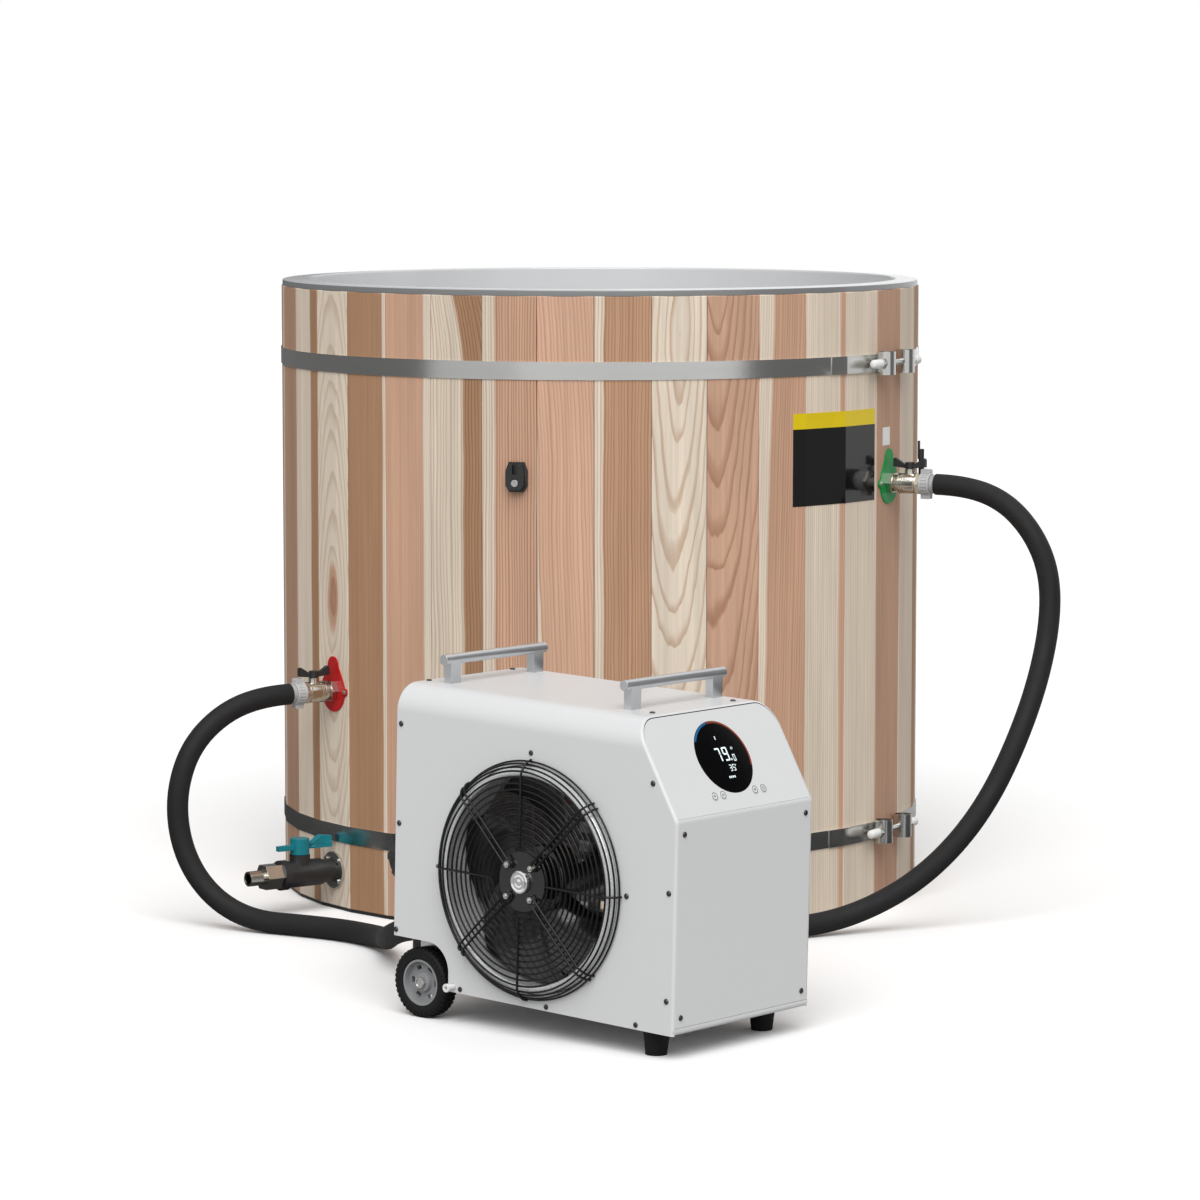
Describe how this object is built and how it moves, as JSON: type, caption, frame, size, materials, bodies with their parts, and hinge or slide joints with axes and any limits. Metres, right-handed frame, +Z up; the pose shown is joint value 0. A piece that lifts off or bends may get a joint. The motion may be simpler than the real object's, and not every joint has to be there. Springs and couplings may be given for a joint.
{
  "type": "barrel cold plunge tub",
  "caption": "Round wooden barrel tub with steel hoops and grey liner, joined by two insulated hoses to a wheeled water chiller with a fan, slanted control panel and handles.",
  "frame": {"origin": "centre of the barrel's base on the floor", "axes": "+Z up, +X along the chiller towards its control panel, the fan faces -Y"},
  "size_m": [1.6075, 1.6282, 1.003],
  "materials": {
    "stave_wood": "bare planed softwood",
    "floor_wood": "bare planed softwood",
    "black_plastic": "matte black",
    "gloss_black": "gloss black",
    "liner_grey": "smooth light grey",
    "hoop_steel": "brushed",
    "zinc_steel": "zinc plated",
    "white_plastic": "matte white",
    "red_enamel": "gloss red",
    "green_enamel": "gloss green",
    "nickel": "nickel plated",
    "grey_plastic": "light grey",
    "teal_plastic": "teal",
    "case_paint": "satin white",
    "tyre_rubber": "black rubber",
    "wheel_grey": "mid grey",
    "foot_rubber": "black rubber",
    "bright_steel": "bright",
    "chrome_trim": "chrome",
    "display_glass": "gloss black",
    "button_black": "satin black",
    "aluminium_fins": "plain",
    "satin_aluminium": "satin",
    "copper": "bare copper",
    "foam_sleeve": "matte foam"
  },
  "bodies": {
    "tub_and_chiller": {"staves": "stave_wood", "base_ring": "black_plastic", "floor": "floor_wood", "liner": "liner_grey", "rim": "liner_grey", "hoops": "hoop_steel", "hoop_bolts": "zinc_steel", "rod_caps": "white_plastic", "outlet_plate": "red_enamel", "inlet_plate": "green_enamel", "plate_screws": "zinc_steel", "wall_valves": "nickel", "ring_nuts": "grey_plastic", "hose_tails": "nickel", "air_bleed": "black_plastic", "drain_flange": "zinc_steel", "drain_valve": "black_plastic", "drain_adapter": "nickel", "latch_body": "black_plastic", "case_shell": "case_paint", "slant_panel": "case_paint", "front_panel": "case_paint", "rear_panel": "case_paint", "base_tray": "case_paint", "wheel_axle": "zinc_steel", "rubber_feet": "foot_rubber", "carry_handles": "satin_aluminium", "case_screws": "zinc_steel", "display": "display_glass", "electronics": "black_plastic", "fan_guard": "gloss_black", "fan_duct": "bright_steel", "fan_motor": "gloss_black", "motor_cap": "chrome_trim", "condenser_coil": "aluminium_fins", "compressor": "black_plastic", "heat_exchanger": "copper", "water_pump": "black_plastic", "filter_housing": "black_plastic", "filter_cap": "black_plastic", "power_socket": "black_plastic", "drip_nipple": "white_plastic", "outlet_hose": "foam_sleeve", "inlet_hose": "foam_sleeve"},
    "outlet_turn": {"outlet_ball": "nickel", "outlet_handle": "black_plastic"},
    "inlet_turn": {"inlet_ball": "nickel", "inlet_handle": "black_plastic"},
    "drain_turn": {"drain_ball": "nickel", "drain_handle": "teal_plastic"},
    "lock_plug": {"latch_plug": "zinc_steel"},
    "near_wheel": {"near_tyre": "tyre_rubber", "near_hub": "wheel_grey"},
    "far_wheel": {"far_tyre": "tyre_rubber", "far_hub": "wheel_grey"},
    "fan": {"fan_rotor": "gloss_black"},
    "down_key": {"down_button": "button_black"},
    "up_key": {"up_button": "button_black"},
    "mode_key": {"mode_button": "button_black"},
    "power_key": {"power_button": "button_black"}
  },
  "joints": [
    {"name": "outlet_valve_turn", "type": "hinge", "parent": "tub_and_chiller", "child": "outlet_turn", "pos_m": [-0.12959, -0.54594, 0.3541], "axis": [0, 0, 1], "range_deg": [-90, 0]},
    {"name": "inlet_valve_turn", "type": "hinge", "parent": "tub_and_chiller", "child": "inlet_turn", "pos_m": [0.54583, 0.13007, 0.683], "axis": [0, 0, 1], "range_deg": [-90, 0]},
    {"name": "drain_valve_turn", "type": "hinge", "parent": "tub_and_chiller", "child": "drain_turn", "pos_m": [-0.13606, -0.57318, 0.064], "axis": [0, 0, 1], "range_deg": [0, 90]},
    {"name": "lock_plug_turn", "type": "hinge", "parent": "tub_and_chiller", "child": "lock_plug", "pos_m": [0.24179, -0.4753, 0.7038], "axis": [0.4315, -0.9021, 0], "range_deg": [0, 90]},
    {"name": "near_wheel_spin", "type": "hinge", "parent": "tub_and_chiller", "child": "near_wheel", "pos_m": [0.59925, -1.05995, 0.05], "axis": [0, 1, 0], "continuous": true},
    {"name": "far_wheel_spin", "type": "hinge", "parent": "tub_and_chiller", "child": "far_wheel", "pos_m": [0.59925, -0.80475, 0.05], "axis": [0, 1, 0], "continuous": true},
    {"name": "fan_spin", "type": "hinge", "parent": "tub_and_chiller", "child": "fan", "pos_m": [0.81484, -1.03835, 0.22138], "axis": [0, 1, 0], "continuous": true},
    {"name": "down_press", "type": "slide", "parent": "tub_and_chiller", "child": "down_key", "axis": [-0.8651, 0, -0.5016], "range_m": [0, 0.0008], "stiffness_N_per_m": 600},
    {"name": "up_press", "type": "slide", "parent": "tub_and_chiller", "child": "up_key", "axis": [-0.8651, 0, -0.5016], "range_m": [0, 0.0008], "stiffness_N_per_m": 600},
    {"name": "mode_press", "type": "slide", "parent": "tub_and_chiller", "child": "mode_key", "axis": [-0.8651, 0, -0.5016], "range_m": [0, 0.0008], "stiffness_N_per_m": 600},
    {"name": "power_press", "type": "slide", "parent": "tub_and_chiller", "child": "power_key", "axis": [-0.8651, 0, -0.5016], "range_m": [0, 0.0008], "stiffness_N_per_m": 600}
  ]
}
